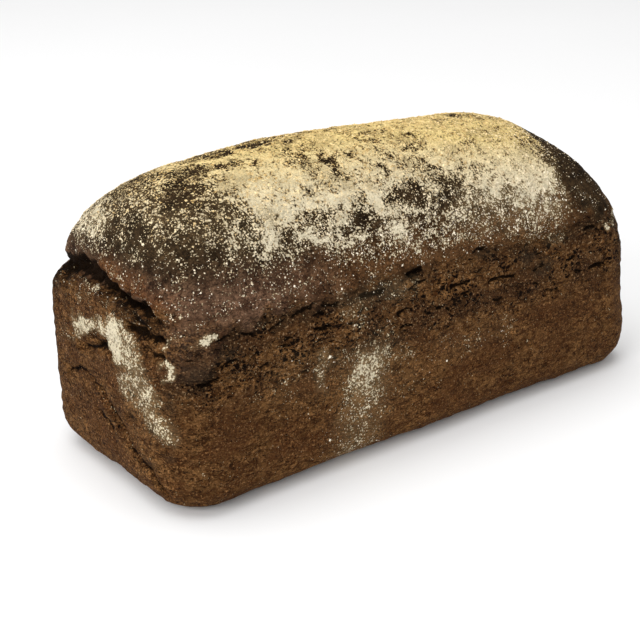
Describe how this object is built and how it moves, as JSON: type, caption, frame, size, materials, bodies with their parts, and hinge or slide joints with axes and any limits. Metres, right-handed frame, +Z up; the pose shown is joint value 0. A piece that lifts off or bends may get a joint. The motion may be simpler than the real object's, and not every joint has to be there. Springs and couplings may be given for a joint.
{
  "type": "dark rye tin loaf",
  "caption": "Whole uncut dark rye loaf from a long tin: straight walls, a crowned and floured top, and an oven tear across one end.",
  "frame": {"origin": "under the middle of the flat base", "axes": "+X along the loaf towards the end without the deep tear, +Z up, the long wall that the picture shows faces -Y"},
  "size_m": [0.2328, 0.1009, 0.1141],
  "materials": {
    "crust": "matte"
  },
  "bodies": {
    "root": {"loaf": "crust"}
  },
  "joints": []
}
